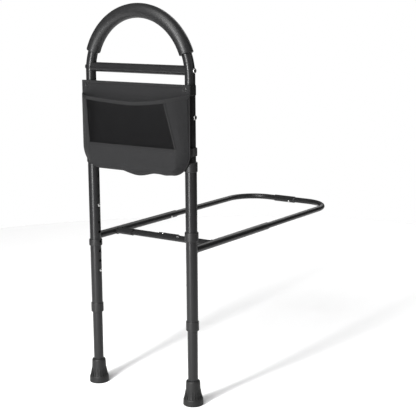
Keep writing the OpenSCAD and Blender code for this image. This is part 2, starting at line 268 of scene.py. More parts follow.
def powder_coat(colours):
    """Gloss black powder coat with a fine orange peel."""
    made = Finish("powder_coat", colours.paint, 0.30, Specular_IOR_Level=0.26)
    made.mottle(40, 0.14).uneven(55, 0.05)
    return made.bump(made.noise(1100, 2), 0.00012, 0.35).material


def moulded(colours, name="moulded_plastic", roughness=0.44):
    """Satin black plastic with a fine spark-eroded grain."""
    made = Finish(name, colours.plastic, roughness, Specular_IOR_Level=0.3)
    made.mottle(60, 0.18).uneven(90, 0.07)
    return made.bump(made.noise(3200, 2), 0.00008, 0.5).material


def grip_foam(colours):
    """Closed-cell foam with a skin of small pores and faint long waves."""
    made = Finish(
        "grip_foam", colours.foam, 0.40, Specular_IOR_Level=0.30)
    made.mottle(120, 0.22).uneven(70, 0.06)
    cells = made.node("TexVoronoi", made.place(), Scale=1500.0).outputs["Distance"]
    made.bump(cells, 0.00016, 0.45)
    return made.bump(made.noise(180, 2), 0.0004, 0.25).material


def foot_rubber(colours):
    """Matte rubber with a dusty, slightly lighter bloom."""
    made = Finish("foot_rubber", colours.rubber, 0.52, Specular_IOR_Level=0.25)
    made.mottle(35, 0.35, 5).uneven(60, 0.10)
    made.bump(made.noise(1400, 4), 0.00018, 0.5)
    return made.material


def zinc_plate(colours):
    """Zinc-plated steel with a fine turned grain."""
    made = Finish("zinc_plate", colours.zinc, 0.26, Metallic=1.0)
    made.mottle(300, 0.12).uneven(500, 0.10)
    return made.bump(made.noise(2500, 3), 0.00005, 0.4).material


def spring_steel(colours):
    """Dark rolled spring strip, its grain along its length."""
    dark = tuple(0.5 * c for c in colours.zinc)
    made = Finish("spring_steel", dark, 0.36, Metallic=1.0)
    made.mottle(200, 0.2).uneven(300, 0.12)
    return made.bump(made.noise(1800, 3, (0.1, 1, 1)), 0.00006, 0.5).material


def woven_cloth(colours, name="woven_cloth", pitch=0.8 * MM, light=1.0):
    """Plain-woven polyester with crossing threads, slubs and a faint sheen."""
    made = Finish(
        name, tuple(light * c for c in colours.cloth), 0.72,
        Sheen_Weight=0.02, Sheen_Roughness=0.45, Specular_IOR_Level=0.15)
    across, along = made.threads()
    weave = made.math("MULTIPLY", made.ripple(across, pitch), made.ripple(along, pitch))
    grain = made.noise(260, 4)
    level = made.math("MULTIPLY_ADD", weave, 0.16, grain)
    mix = made.node("Mix", data_type="RGBA")
    made.put(level, mix.inputs[0])
    mix.inputs[6].default_value = (*[c * 0.72 for c in made.colour[:3]], 1)
    mix.inputs[7].default_value = (*[c * 1.30 for c in made.colour[:3]], 1)
    made.tree.links.new(mix.outputs[2], made.shader.inputs["Base Color"])
    made.uneven(200, 0.08)
    made.bump(weave, 0.00016, 0.6)
    return made.bump(grain, 0.0005, 0.25).material


def window_net(colours, pitch):
    """Net with small round holes between its threads; its colour is darker than the cloth as painted shade of the
    pouch's inside.
    """
    made = Finish("window_net", colours.net_painted_shade, 0.7, Specular_IOR_Level=0.05)
    across, along = made.threads()
    weave = made.math("MULTIPLY", made.ripple(across, pitch), made.ripple(along, pitch))
    hole = made.math("GREATER_THAN", made.math("ABSOLUTE", weave), 0.30)
    solid = made.math("SUBTRACT", 1.0, hole)
    made.tree.links.new(solid, made.shader.inputs["Alpha"])
    made.mottle(150, 0.2).uneven(220, 0.08)
    return made.bump(weave, 0.0002, 0.5).material


def ribbed_tape(colours, name="ribbed_tape", pitch=1.1 * MM, light=1.0):
    """Woven tape with ribs across its length, as binding and webbing have."""
    made = Finish(
        name, tuple(light * c for c in colours.cloth), 0.62,
        Specular_IOR_Level=0.2)
    across, along = made.threads()
    ribs = made.ripple(along, pitch)
    cords = made.ripple(across, 2.4 * pitch)
    made.mottle(300, 0.25).uneven(150, 0.08)
    made.bump(ribs, 0.00022, 0.6)
    return made.bump(cords, 0.00016, 0.4).material


def fuzzy_loop(colours):
    """The loop side of a hook-and-loop fastener."""
    made = Finish("fuzzy_loop", tuple(0.45 * c for c in colours.cloth), 0.95,
                  Sheen_Weight=0.05, Sheen_Roughness=0.7)
    made.mottle(500, 0.35)
    return made.bump(made.noise(1300, 5), 0.0006, 0.9).material


def band_rubber(colours):
    """Plain natural-rubber band."""
    made = Finish("band_rubber", colours.band, 0.42, Subsurface_Weight=0.15,
                  Subsurface_Scale=0.002)
    made.mottle(200, 0.12).uneven(250, 0.08)
    return made.bump(made.noise(900, 2), 0.00008, 0.4).material


FINISHES = {}


def finish(name):
    """One finish of the rail, made the first time that it is asked for."""
    if name not in FINISHES:
        scene = bpy.context.scene
        colours, bag = scene.rail_colours, scene.rail_bag
        makers = {
            "paint": lambda: powder_coat(colours),
            "plastic": lambda: moulded(colours),
            "acetal": lambda: moulded(colours, "acetal", 0.34),
            "plug": lambda: moulded(colours, "plug_plastic", 0.60),
            "foam": lambda: grip_foam(colours),
            "rubber": lambda: foot_rubber(colours),
            "zinc": lambda: zinc_plate(colours),
            "spring": lambda: spring_steel(colours),
            "cloth": lambda: woven_cloth(colours),
            "net_painted_shade": lambda: window_net(colours, bag.net_pitch),
            "binding": lambda: ribbed_tape(colours, light=0.7),
            "webbing": lambda: ribbed_tape(colours, "webbing", 1.6 * MM, 0.62),
            "loop": lambda: fuzzy_loop(colours),
            "thread": lambda: ribbed_tape(colours, "thread", 0.4 * MM, 1.7),
            "band": lambda: band_rubber(colours),
        }
        FINISHES[name] = makers[name]()
    return FINISHES[name]


# The finish of each material slot of the record
SLOT_FINISH = {
    "tube": "paint", "collar": "plastic", "plug": "plug", "rubber": "rubber",
    "foam": "foam", "steel": "zinc", "button": "zinc", "spring": "spring",
    "bag": "cloth", "webbing": "webbing", "band": "band", "buckle": "acetal",
}


# ------------------------------------------------------------------ making pieces

def piece_from(name, bm, look, body, smooth_angle=40):
    """Turns a finished bmesh into a piece, which rides on a body if it is given one."""
    mesh = bpy.data.meshes.new(name)
    bm.to_mesh(mesh)
    bm.free()
    mesh.polygons.foreach_set("use_smooth", [True] * len(mesh.polygons))
    mesh.set_sharp_from_angle(angle=math.radians(smooth_angle))
    mesh.materials.append(finish(look))
    piece = bpy.data.objects.new(name, mesh)
    bpy.context.scene.collection.objects.link(piece)
    if body:
        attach(piece, body)
    return piece


def add_thickness(piece, thickness, offset=0.0):
    """Gives a sheet its thickness, with closed edges."""
    solid = piece.modifiers.new("thickness", "SOLIDIFY")
    solid.thickness, solid.offset = thickness, offset
    solid.use_even_offset = True


def fresh():
    """An empty bmesh with a UV map."""
    bm = bmesh.new()
    bm.loops.layers.uv.new("UVMap")
    return bm


def shaped_grid(across, along, place, size=(1, 1), keep=None, into=None):
    """A grid of across by along faces: place(u, v) gives the point for u, v in 0 to 1.

    The UV map is in metres: size is the sheet's flat width and length."""
    bm = into or bmesh.new()
    if not bm.loops.layers.uv:
        bm.loops.layers.uv.new("UVMap")
    made = bmesh.ops.create_grid(
        bm, x_segments=across, y_segments=along, size=0.5, calc_uvs=True)
    uv = bm.loops.layers.uv.active
    faces = list({face for vert in made["verts"] for face in vert.link_faces})
    for face in faces:
        for loop in face.loops:
            loop[uv].uv = (
                (loop.vert.co.x + 0.5) * size[0], (loop.vert.co.y + 0.5) * size[1])
    if keep:
        lost = [
            face for face in faces
            if not keep(*(face.calc_center_median().xy + Vector((0.5, 0.5))))]
        bmesh.ops.delete(bm, geom=lost, context="FACES")
    for vert in [vert for vert in made["verts"] if vert.is_valid]:
        vert.co = place(vert.co.x + 0.5, vert.co.y + 0.5)
    return bm


def close_up(bm, near=1e-6):
    """Merges doubled points, fills open ends and turns all faces outwards."""
    bmesh.ops.remove_doubles(bm, verts=bm.verts, dist=near)
    open_edges = [edge for edge in bm.edges if edge.is_boundary]
    if open_edges:
        bmesh.ops.holes_fill(bm, edges=open_edges, sides=0)
    bmesh.ops.recalc_face_normals(bm, faces=bm.faces)
    return bm


def rounded_section(count, half_width, half_thick, power=0.45):
    """Points round a flat section with rounded corners, as (width, thickness) pairs."""
    points = []
    for step in range(count):
        turn = math.tau * step / count
        c, s = math.cos(turn), math.sin(turn)
        points.append((
            half_width * math.copysign(abs(c) ** power, c),
            half_thick * math.copysign(abs(s) ** power, s)))
    return points


def ribbon(path, section, closed=False, into=None, swell=None):
    """Sweeps a section along path: each item is (point, width axis, thickness axis)."""
    count, steps = len(section), len(path) - (0 if closed else 1)
    lengths = [0.0]
    for step in range(steps):
        lengths.append(
            lengths[-1] + (path[(step + 1) % len(path)][0] - path[step][0]).length)
    girth = sum(
        math.dist(section[i], section[(i + 1) % count]) for i in range(count))

    def place(u, v):
        around, at = round(u * count) % count, round(v * steps) % len(path)
        point, wide, thick = path[at]
        a, b = section[around]
        grow = swell(at / steps) if swell else 1.0
        return point + wide * a * grow + thick * b * grow

    own = bmesh.new()
    shaped_grid(count, steps, place, (girth, lengths[-1]), into=own)
    close_up(own)
    if into is None:
        return own
    return join(own, into)


def join(own, into):
    """Adds one bmesh to another."""
    mesh = bpy.data.meshes.new("joining")
    own.to_mesh(mesh)
    own.free()
    into.from_mesh(mesh)
    bpy.data.meshes.remove(mesh)
    return into


def spin(own, outline, steps):
    """Spins an outline of (radius, height) pairs about the Z axis."""
    verts = [own.verts.new((radius, 0, height)) for radius, height in outline]
    edges = [own.edges.new(pair) for pair in zip(verts, verts[1:])]
    bmesh.ops.spin(
        own, geom=verts + edges, cent=(0, 0, 0), axis=(0, 0, 1), angle=math.tau,
        steps=steps, use_merge=True)


def point_at(own, at, towards):
    """Moves what was made along Z to its place, pointing towards a way."""
    turn = Vector(towards).to_track_quat("Z", "Y").to_matrix().to_4x4()
    bmesh.ops.transform(own, matrix=Matrix.Translation(at) @ turn, verts=own.verts)


def turned(outline, at, towards=(0, 0, 1), steps=48, into=None):
    """A spun outline, closed, that stands at a point and faces a way."""
    own = fresh()
    spin(own, outline, steps)
    close_up(own)
    point_at(own, at, towards)
    if into is None:
        return own
    return join(own, into)


def stitches(path, pitch, into, lift=0.0):
    """A row of thread stitches along path, whose items are (point, way out)."""
    thread_r = 0.32 * MM
    for (a, out), (b, _) in zip(path, path[1:]):
        run = b - a
        for step in range(max(1, round(run.length / pitch))):
            share = (step + 0.5) / max(1, round(run.length / pitch))
            along = run.normalized()
            side = along.cross(out).normalized()
            axes = Matrix((along, side, along.cross(side))).transposed().to_4x4()
            size = Matrix.Diagonal((0.36 * pitch, thread_r, thread_r, 1))
            spot = Matrix.Translation(a + run * share + out * lift)
            bmesh.ops.create_icosphere(
                into, subdivisions=1, radius=1, matrix=spot @ axes @ size)
    return into


# ------------------------------------------------------------------ the organiser

SEAM_D = 20.2 * MM                 # the pouch's side seams, in front of the legs
PANEL_D = 19.6 * MM                # middle of the back panel's cloth
CORNER_TOP_Z = 636 * MM            # where the bag's lower corners begin
BAND_TOP_Z = 645 * MM              # lower edge of the see-through window
TOP_Z = PANEL_HIGH.z
LOW_Z = PANEL_LOW.z + 0.6 * MM
SIDE_X = PANEL_HIGH.x - 1.5 * MM
FLAT_X = 115 * MM                  # the bottom edge is straight up to here
RIM_D = 59.5 * MM                  # the pouch's rim, in front of the legs
RIM_Z_MIDDLE = 754.5 * MM          # the rim where it dips lowest
RIM_Z_SIDE = 772 * MM
SEAM_TOP_Z = {-1: 764 * MM, 1: 774 * MM}
WINDOW_TOP_X = {-1: 122 * MM, 1: 118 * MM}
WINDOW_LOW_X = {-1: 129 * MM, 1: 139 * MM}


def forward(x, distance, z):
    """A point at that distance in front of the legs."""
    return Vector((x, LEG_Y - distance, z))


def lerp(a, b, share):
    return a + (b - a) * share


def smooth(share):
    share = min(max(share, 0.0), 1.0)
    return share * share * (3 - 2 * share)


def side_reach(z):
    """Half the bag's width at the height z."""
    if z >= CORNER_TOP_Z:
        return SIDE_X
    drop = min((CORNER_TOP_Z - z) / (CORNER_TOP_Z - LOW_Z), 1)
    return FLAT_X + (SIDE_X - FLAT_X) * math.sqrt(max(1 - drop * drop, 0))


def hang(x):
    """How far the bottom edge hangs below its straight line at x."""
    sag = bpy.context.scene.rail_bag.sag
    main = math.cos(min(abs(x - 9 * MM) / (50 * MM), 1) * math.pi / 2) ** 1.4
    small = 0.2 * math.cos(min(abs(x - 93 * MM) / (22 * MM), 1) * math.pi / 2) ** 2
    return sag * (main + small)


def drop_at(x, z):
    """How far a point near the bottom edge hangs lower than its straight place."""
    return hang(x) * (1 - smooth((z - LOW_Z) / (34 * MM)))


def rim_z(x):
    """Height of the pouch's rim at x on its front."""
    dip = bpy.context.scene.rail_bag.rim_dip
    rise = 0.72 if x < 20 * MM else 1.5
    return RIM_Z_MIDDLE + dip * rise * (abs(x - 20 * MM) / (140 * MM)) ** 1.6


def front_half(z, side):
    """How far the pouch's front reaches to one side at the height z."""
    share = (z - BAND_TOP_Z) / (RIM_Z_SIDE - BAND_TOP_Z)
    wide = lerp(WINDOW_LOW_X[side], WINDOW_TOP_X[side], max(share, 0))
    return min(wide, side_reach(z) - 16 * MM)


def front_distance(z):
    """How far the pouch's front stands before the legs at the height z."""
    low, band, rim = 39.5 * MM, 42 * MM, RIM_D
    if z > BAND_TOP_Z:
        share = (z - BAND_TOP_Z) / (RIM_Z_SIDE - BAND_TOP_Z)
        return lerp(band, rim, share ** 1.05)
    foot = LOW_Z + 18 * MM
    if z > foot:
        share = (z - foot) / (BAND_TOP_Z - foot)
        return lerp(low, band, share) + 2.6 * MM * math.sin(math.pi * share)
    share = max((foot - z) / (foot - LOW_Z), 0)
    return SEAM_D + (low - SEAM_D) * math.sqrt(max(1 - share ** 2, 0))


SIDE_COLUMNS, FRONT_COLUMNS = 9, 44
COLUMNS = 2 * SIDE_COLUMNS + FRONT_COLUMNS
BAND_ROWS, WINDOW_ROWS = 16, 26
ROWS = BAND_ROWS + WINDOW_ROWS


def pouch_point(u, v, lift=0.0):
    """The pouch's surface: u runs from its left seam to its right one, v from its
    bottom to its rim, and lift is a distance outwards."""
    column, row = u * COLUMNS, v * ROWS
    if row <= BAND_ROWS:
        z = lerp(LOW_Z, BAND_TOP_Z, (row / BAND_ROWS) ** 1.35)
    else:
        z = lerp(BAND_TOP_Z, RIM_Z_SIDE, (row - BAND_ROWS) / WINDOW_ROWS)
    edge, front = side_reach(z), front_distance(z)
    if column < SIDE_COLUMNS:
        side, share = -1, 1 - column / SIDE_COLUMNS
    elif column > COLUMNS - SIDE_COLUMNS:
        side, share = 1, 1 - (COLUMNS - column) / SIDE_COLUMNS
    else:
        side, share = 0, 0.0
    if side:
        x = side * lerp(front_half(z, side), edge, share)
        puff = 2.6 * MM * math.sin(math.pi * share) * smooth((z - LOW_Z) / (50 * MM))
        distance = lerp(front, SEAM_D, share) + puff
    else:
        across = (column - SIDE_COLUMNS) / FRONT_COLUMNS * 2 - 1
        x = lerp(-front_half(z, -1), front_half(z, 1), (across + 1) / 2)
        bow = (1 - across * across)
        distance = front + 1.6 * MM * bow * smooth((z - LOW_Z) / (90 * MM))
    top = rim_z(x) if not side else lerp(
        rim_z(side * front_half(RIM_Z_SIDE, side)), SEAM_TOP_Z[side], share)
    if row > BAND_ROWS:
        z = lerp(BAND_TOP_Z, top, (row - BAND_ROWS) / WINDOW_ROWS)
    z -= drop_at(x, z)
    wrinkle = bpy.context.scene.rail_bag.wrinkle
    free = math.sin(math.pi * min(share, 1)) if side else 1.0
    free *= smooth((z - LOW_Z + 4 * MM) / (30 * MM))
    wave = noise.noise(Vector((x * 22, z * 9, 3.1))) + 0.5 * noise.noise(
        Vector((x * 55, z * 38, 7.7)))
    return forward(x, distance + lift + wrinkle * wave * free, z)


def pouch_out(u, v):
    """The way outwards from the pouch at u, v."""
    step = 0.004
    a = pouch_point(min(u + step, 1), v) - pouch_point(max(u - step, 0), v)
    b = pouch_point(u, min(v + step, 1)) - pouch_point(u, max(v - step, 0))
    return a.cross(b).normalized()


def panel_point(u, v, lift=0.0):
    """The back panel: u runs across it and v from its bottom to its top edge."""
    straight = 0.24
    if v < straight:
        z = lerp(LOW_Z, CORNER_TOP_Z, (v / straight) ** 1.5)
    else:
        z = lerp(CORNER_TOP_Z, TOP_Z, (v - straight) / (1 - straight))
    x = (2 * u - 1) * side_reach(z)
    z -= drop_at(x, z)
    wrinkle = bpy.context.scene.rail_bag.wrinkle
    edge = min(1 - abs(2 * u - 1), 0.2) * 5
    wave = noise.noise(Vector((x * 16, z * 11, 1.3))) * edge
    between = smooth(1 - abs(x) / (HALF_SPACING - 20 * MM))
    return forward(x, PANEL_D + lift + wrinkle * 0.5 * wave * between, z)


def outline_path(lift, inset=0.0, start_z=None, count=26):
    """The bag's edge from the left top, round the bottom, to the right top."""
    top = start_z or TOP_Z
    points = []

    def add(x, z):
        points.append(forward(x, PANEL_D + lift, z - drop_at(x, z)))

    rise = CORNER_TOP_Z - LOW_Z
    turn_x = SIDE_X - FLAT_X
    for step in range(count):
        add(-SIDE_X + inset, lerp(top, CORNER_TOP_Z, step / count))
    for step in range(count):
        turn = math.pi / 2 * step / count
        add(-FLAT_X - (turn_x - inset) * math.cos(turn),
            CORNER_TOP_Z - (rise - inset) * math.sin(turn))
    for step in range(2 * count):
        add(lerp(-FLAT_X, FLAT_X, step / (2 * count)), LOW_Z + inset)
    for step in range(count):
        turn = math.pi / 2 * (1 - step / count)
        add(FLAT_X + (turn_x - inset) * math.cos(turn),
            CORNER_TOP_Z - (rise - inset) * math.sin(turn))
    for step in range(count + 1):
        add(SIDE_X - inset, lerp(CORNER_TOP_Z, top, step / count))
    return points


def framed(points, out):
    """Adds to each point of a path its width axis and its thickness axis.

    out is one way for the whole path, or one for each point."""
    path = []
    for i, point in enumerate(points):
        ahead = points[min(i + 1, len(points) - 1)] - points[max(i - 1, 0)]
        thick = Vector(out[i] if isinstance(out, list) else out)
        wide = thick.cross(ahead).normalized()
        path.append((point, wide, ahead.cross(wide).normalized() * -1))
    return path


# ------------------------------------------------------------------ operators

class RailOperator(bpy.types.Operator):
    """Base of the rail's operators."""
    bl_options = {"REGISTER", "UNDO"}

    def execute(self, context):
        self.make(context.scene)
        return {"FINISHED"}


class RAIL_OT_stage(RailOperator):
    """Adds the floor, the lights and the camera"""
    bl_idname = "rail.stage"
    bl_label = "Stage"

    def make(self, scene):
        settings = scene.rail_stage
        bm = bmesh.new()
        bmesh.ops.create_circle(bm, cap_ends=True, segments=96, radius=2.0)
        mesh = bpy.data.meshes.new("floor")
        bm.to_mesh(mesh)
        bm.free()
        floor = bpy.data.objects.new("floor", mesh)
        scene.collection.objects.link(floor)
        made = Finish("pale_floor", settings.floor, 0.85)
        made.mottle(3, 0.01)
        mesh.materials.append(made.material)

        target = Vector((0, LEG_Y, 0.55))
        for name, azimuth, height, away, wide, tall, power in (
            ("key_light", 3, 3.02, 2.0, 0, 0, settings.key),
            ("strip_light", 1, 0.95, 1.6, 0.2, 1.8, settings.strip),
            ("fill_light", 100, 1.6, 2.6, 1.4, 1.6, settings.fill),
            ("back_light", 188, 1.9, 2.6, 1.6, 1.6, settings.back),
        ):
            data = bpy.data.lights.new(name, "AREA" if wide else "SUN")
            data.energy = power
            if wide:
                data.shape, data.size, data.size_y = "RECTANGLE", wide, tall
            else:
                data.angle = math.radians(36)
            light = bpy.data.objects.new(name, data)
            turn = math.radians(azimuth)
            light.location = target + Vector((
                math.sin(turn) * away, -math.cos(turn) * away, height - target.z))
            light.rotation_mode = "QUATERNION"
            light.rotation_quaternion = (
                target - light.location).to_track_quat("-Z", "Y")
            scene.collection.objects.link(light)

        world = bpy.data.worlds.new("studio")
        world.use_nodes = True
        scene.world = world
        nodes, links = world.node_tree.nodes, world.node_tree.links
        surround = nodes["Background"]
        surround.inputs["Strength"].default_value = 1.0
        way, parts = nodes.new("ShaderNodeTexCoord"), nodes.new("ShaderNodeSeparateXYZ")
        rise = nodes.new("ShaderNodeMapRange")
        links.new(way.outputs["Generated"], parts.inputs[0])
        links.new(parts.outputs["Z"], rise.inputs["Value"])
        rise.inputs["To Min"].default_value = settings.horizon
        rise.inputs["To Max"].default_value = settings.zenith
        links.new(rise.outputs[0], surround.inputs["Color"])
        seen = nodes.new("ShaderNodeBackground")
        seen.inputs["Color"].default_value = (1, 1, 1, 1)
        seen.inputs["Strength"].default_value = 1.0
        path, mix = nodes.new("ShaderNodeLightPath"), nodes.new("ShaderNodeMixShader")
        links.new(path.outputs["Is Camera Ray"], mix.inputs[0])
        links.new(surround.outputs[0], mix.inputs[1])
        links.new(seen.outputs[0], mix.inputs[2])
        links.new(mix.outputs[0], nodes["World Output"].inputs["Surface"])

        scene.view_settings.view_transform = "Standard"

        lens = bpy.data.cameras.new("camera")
        lens.lens, lens.sensor_width = 95.318, 36
        lens.clip_start, lens.clip_end = 0.05, 50
        camera = bpy.data.objects.new("camera", lens)
        scene.collection.objects.link(camera)
        camera.rotation_mode = "QUATERNION"
        yaw, pitch, roll = (math.radians(angle) for angle in (34.936, 11.102, -0.419))
        turn = (
            Matrix.Rotation(yaw, 4, "Z")
            @ Matrix.Rotation(math.pi / 2 - pitch, 4, "X")
            @ Matrix.Rotation(roll, 4, "Z"))
        camera.rotation_quaternion = turn.to_quaternion()
        camera.location = (1.68381, LEG_Y - 2.12021, 1.01311)
        scene.camera = camera


class RAIL_OT_finishes(RailOperator):
    """Gives every CAD part its finish"""
    bl_idname = "rail.finishes"
    bl_label = "Finishes of the frame"

    def make(self, scene):
        slots = {part["node"]: part["material_slot"] for part in
                 frame["record"]["subparts"]}
        for node, thing in frame["nodes"].items():
            look = finish(SLOT_FINISH[slots[node]])
            if not thing.material_slots:
                thing.data.materials.append(look)
            for slot in thing.material_slots:
                slot.material = look


class RAIL_OT_grip(RailOperator):
    """Makes the foam sleeve of the arched handle"""
    bl_idname = "rail.grip"
    bl_label = "Foam grip"

    def make(self, scene):
        end = math.asin((FOAM_LOW.z - ARCH_Z) / (HALF_SPACING - FOAM_R))
        around, along = 56, 110
        edge = 2.6 * MM
        bore = TUBE_R + 0.15 * MM
        reach = edge / HALF_SPACING
        profile = [(end, bore)]
        for step in range(7):
            turn = math.pi / 2 * step / 6
            profile.append((
                end + reach * (1 - math.sin(math.pi / 2 - turn) * 1.0)
                if step else end,
                FOAM_R - edge + edge * math.sin(turn)))
        span = math.pi - 2 * end
        for step in range(1, along):
            profile.append((end + reach + (span - 2 * reach) * step / along, FOAM_R))
        for angle, radius in reversed(profile[:8]):
            profile.append((math.pi - angle, radius))
        for step in range(1, 24):
            profile.append((math.pi - end - span * step / 24, bore))

        def place(u, v):
            angle, radius = profile[round(v * len(profile)) % len(profile)]
            turn = u * math.tau
            if radius > bore + edge:
                radius *= 1 + 0.010 * noise.noise(
                    Vector((math.cos(angle) * 7, math.sin(angle) * 7, math.cos(turn))))
                radius = min(radius, FOAM_R)
            out = HALF_SPACING + radius * math.cos(turn)
            return Vector((
                out * math.cos(angle), LEG_Y + radius * math.sin(turn),
                ARCH_Z + out * math.sin(angle)))

        bm = shaped_grid(
            around, len(profile), place, (math.tau * FOAM_R, span * HALF_SPACING))
        close_up(bm)
        grip = piece_from("grip_foam", bm, "foam", "handle", 60)
        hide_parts("foam_grip")


class RAIL_OT_feet(RailOperator):
    """Makes the two rubber feet with their webs"""
    bl_idname = "rail.feet"
    bl_label = "Rubber feet"

    def make(self, scene):
        webs = scene.rail_trim.foot_webs
        for side in SIDES:
            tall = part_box("foot_" + side)[1].z
            centre, wide = middle("foot_" + side), half_size("foot_" + side).x
            bore = TUBE_R - 0.05 * MM
            outline = [(r * MM, z * MM) for r, z in (
                (0, 2.2), (8, 2.2), (8.6, 0.6), (9.4, 0), (12, 0), (12.6, 1.4),
                (14.4, 1.4), (15, 0), (18, 0), (18.6, 1.4), (20.4, 1.4), (21, 0),
                (24.0, 0), (25.0, 0.5), (25.4, 1.5), (25.5, 3.0), (25.45, 4.6),
                (25.0, 5.0), (25.0, 5.6), (25.4, 6.0), (25.3, 8.6), (24.85, 9.0),
                (24.85, 9.6), (25.2, 10.0), (25.1, 12.6), (24.65, 13.0),
                (24.65, 13.6), (25.0, 14.0), (24.9, 14.9), (24.5, 16.2), (23.8, 17.2),
                (22.8, 17.8), (21.6, 18.0),
                (21.0, 18.6), (20.5, 21), (19.9, 26), (19.2, 32), (18.6, 40),
                (18.2, 50), (17.9, 57), (17.7, 59.6), (17.1, 61.4), (16.2, 62.6),
                (15.2, 63), (14.2, 62.7), (13.6, 61.8), (13.3, 60.6),
            )] + [(bore, 59 * MM), (bore, 5 * MM), (0, 5 * MM)]
            outline = [
                (min(r, wide), min(z, tall)) for r, z in outline]
            bm = turned(outline, Vector((centre.x, centre.y, 0)), steps=120)
            for turn_step in range(webs):
                turn = math.tau * (turn_step + 0.5) / webs
                way = Vector((math.cos(turn), math.sin(turn), 0))
                side_way = Vector((-way.y, way.x, 0))
                path = []
                for r, z, half in (
                    (18.4, 41, 0.3), (19.6, 36, 0.8), (20.7, 30, 1.1),
                    (21.9, 24.5, 1.3), (23.0, 20, 1.45), (23.7, 17.4, 1.5),
                    (23.4, 16, 1.3),
                ):
                    spot = Vector((centre.x, centre.y, z * MM)) + way * (r - 1.2) * MM
                    path.append((spot, side_way * half, way))
                ribbon(path, rounded_section(8, 1.0 * MM, 1.4 * MM, 0.7), into=bm)
            foot = piece_from(
                "rubber_foot_" + side, bm, "rubber", "leg_" + side, 35)
            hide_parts("foot_" + side)


class RAIL_OT_screws(RailOperator):
    """Makes the socket screws at the ends of the crossbars"""
    bl_idname = "rail.screws"
    bl_label = "Crossbar screws"

    def make(self, scene):
        bm = fresh()
        low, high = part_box("crossbar_screws")
        upper, lower = middle("crossbar_upper").z, middle("crossbar_lower").z
        head_r, key_r, key_deep = 6.0 * MM, 2.2 * MM, 2.6 * MM
        for sign in SIDES.values():
            outer = high.x if sign > 0 else low.x
            for z in (upper, lower):
                tip = Vector((outer, LEG_Y, z))
                outline = [
                    (0, -44 * MM), (2.6 * MM, -44 * MM), (3.0 * MM, -43 * MM),
                    (3.0 * MM, -1.8 * MM), (head_r - 0.2 * MM, -1.8 * MM),
                    (head_r, -1.6 * MM), (head_r, -0.9 * MM),
                    (head_r - 0.2 * MM, -0.5 * MM),
                    (head_r - 0.8 * MM, -0.15 * MM), (head_r - 1.6 * MM, 0),
                    (key_r + 0.7 * MM, 0)]
                own = fresh()
                spin(own, outline, 36)
                bmesh.ops.remove_doubles(own, verts=own.verts, dist=1e-7)
                rim = [edge for edge in own.edges if edge.is_boundary]
                key = bmesh.ops.create_circle(own, segments=6, radius=key_r)["verts"]
                sides = list({edge for vert in key for edge in vert.link_edges})
                bmesh.ops.bridge_loops(own, edges=rim + sides)
                walls = bmesh.ops.extrude_edge_only(own, edges=sides)["geom"]
                deep = [item for item in walls if isinstance(item, bmesh.types.BMVert)]
                bmesh.ops.translate(own, vec=(0, 0, -key_deep), verts=deep)
                close_up(own, 1e-7)
                point_at(own, tip, (sign, 0, 0))
                join(own, bm)
        screws = piece_from("socket_screws", bm, "zinc", "handle", 30)
        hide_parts("crossbar_screws")


class RAIL_OT_springs(RailOperator):
    """Makes the leaf springs, each a copy of its CAD strip cut across"""
    bl_idname = "rail.springs"
    bl_label = "Button springs"

    def make(self, scene):
        carriers = {"handle": "handle", "leg": "leg_{}", "rail": "frame",
                    "far": "frame", "cross": "frame"}
        presses = {joint["child"]: joint for joint in frame["joints"]}
        for node, thing in list(frame["nodes"].items()):
            if "_spring" not in node:
                continue
            button = node.replace("_spring", "_button")
            kind, side = node.split("_")[0], node.split("_")[-1]
            self.spring(node, thing, button, carriers[kind].format(side),
                        -Vector(presses[button + "_body"]["axis"]).normalized())

    def spring(self, node, thing, button, carrier, outward):
        """A copy of the spring's strip, cut across along its length."""
        pin = middle(button)
        along = middle(node) - pin
        along = (along - outward * along.dot(outward)).normalized()
        bm = bmesh.new()
        bm.from_mesh(thing.data)
        bmesh.ops.remove_doubles(bm, verts=bm.verts, dist=1e-6)
        bmesh.ops.dissolve_limit(
            bm, angle_limit=math.radians(1), verts=bm.verts, edges=bm.edges)
        reach = max((vert.co - pin).dot(along) for vert in bm.verts)
        for step in range(1, 10):
            bmesh.ops.bisect_plane(
                bm, geom=bm.verts[:] + bm.edges[:] + bm.faces[:],
                plane_co=pin + along * reach * step / 10, plane_no=along)
        # bending starts on the lower leaf's own line and ends under the pin
        piece = piece_from(
            node.replace("spring", "leaf"), bm, "spring", None, 30)
        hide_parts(node)
        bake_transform(piece)


class RAIL_OT_welds(RailOperator):
    """Makes the weld beads where the frame's tubes meet"""
    bl_idname = "rail.welds"
    bl_label = "Weld beads"

    def make(self, scene):
        bm = fresh()
        joints = []
        for sign in SIDES.values():
            joints.append((
                Vector((sign * HALF_SPACING, LEG_Y, FRAME_Z)), Vector((0, 1, 0)),
                Vector((1, 0, 0)), RAIL_R, LEG_R))
        for node, sign in (
            ("cross_socket", -1), ("cross_tube_front", 1),
            ("cross_tube_rear_left", -1), ("cross_tube_rear_right", 1),
        ):
            size, centre = half_size(node), middle(node)
            radius = size.z if node in ("cross_socket", "cross_tube_front") else (
                half_size("cross_tube_front").z)
            joints.append((
                Vector((sign * HALF_SPACING, centre.y, FRAME_Z)),
                Vector((-sign, 0, 0)), Vector((0, 1, 0)), radius, RAIL_R))
        bead = 1.5 * MM
        for centre, way, across, thin, thick in joints:
            path, count = [], 72
            for step in range(count):
                turn = math.tau * step / count
                c, s = math.cos(turn), math.sin(turn)
                r = thin + 0.35 * bead
                reach = math.sqrt(max(thick ** 2 - (r * c) ** 2, 0)) + 0.25 * bead
                out = across * c + Vector((0, 0, 1)) * s
                path.append((centre + way * reach + out * r, out, way))
            section = rounded_section(10, bead, bead, 1.0)
            ribbon(path, section, closed=True, into=bm,
                   swell=lambda share: 1 + 0.10 * abs(math.sin(share * math.pi * 22)))
        piece_from("weld_beads", bm, "paint", "frame", 60)


